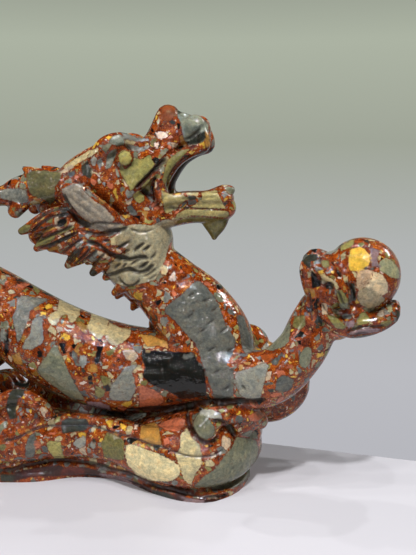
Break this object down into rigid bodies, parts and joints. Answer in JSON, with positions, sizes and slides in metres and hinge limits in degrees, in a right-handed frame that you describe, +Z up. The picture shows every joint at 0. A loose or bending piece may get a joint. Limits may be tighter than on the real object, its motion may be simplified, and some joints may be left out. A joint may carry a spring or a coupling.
{
  "type": "stone dragon carving",
  "caption": "Dragon on a cloud base, jaws open, holding a pearl in front of it, carved from one block of polished red breccia.",
  "frame": {"origin": "on the flat underside, at the middle of the base", "axes": "+X along the base towards the dragon's head and pearl, +Y to the dragon's left side, away from the side that is usually shown, +Z up"},
  "size_m": [0.5082, 0.1225, 0.3009],
  "materials": {
    "breccia": null
  },
  "bodies": {
    "root": {"dragon": "breccia"}
  },
  "joints": []
}
